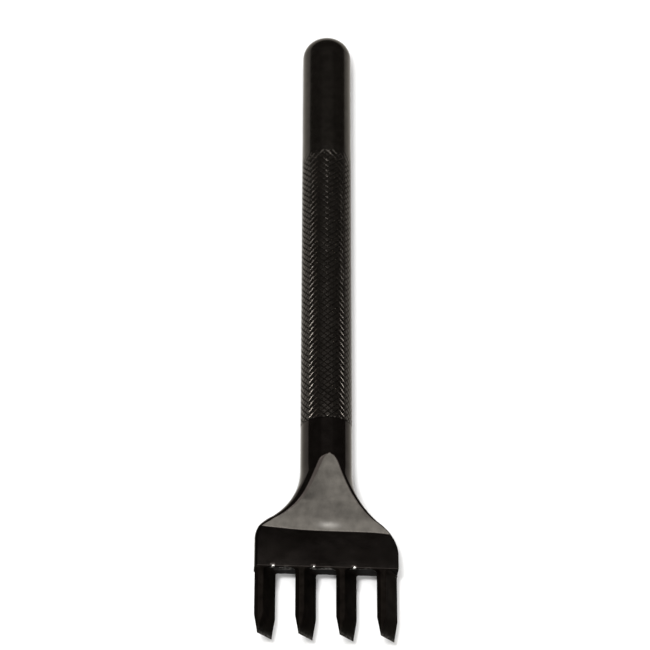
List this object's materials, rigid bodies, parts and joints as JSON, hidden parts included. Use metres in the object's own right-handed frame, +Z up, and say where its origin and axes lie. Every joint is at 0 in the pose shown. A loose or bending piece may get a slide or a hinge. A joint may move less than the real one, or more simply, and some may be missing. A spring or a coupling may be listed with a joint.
{
  "type": "pricking iron",
  "caption": "Slanted-prong leather pricking iron: knurled round steel handle with a domed striking end, trumpet flare with ground facets, flat head and chisel-edged prongs.",
  "frame": {"origin": "below the middle of the tool's length and width, at the height of the underside of the handle, with the tool lying on its back", "axes": "+Y along the tool from the prongs to the domed striking end, +Z up out of the front of the head, +X across the head to the right when the tool is seen from the front with its prongs down"},
  "size_m": [0.0216, 0.1068, 0.008],
  "materials": {
    "handle_steel": "black oxide, diamond knurled on the grip, oiled satin",
    "head_steel": "black oxide over ground steel, satin, with brighter ground facets",
    "prong_steel": "black oxide over ground steel, satin, worn at the cutting edges"
  },
  "bodies": {
    "root": {"handle": "handle_steel", "head": "head_steel", "prong_1": "prong_steel", "prong_2": "prong_steel", "prong_3": "prong_steel", "prong_4": "prong_steel"}
  },
  "joints": []
}
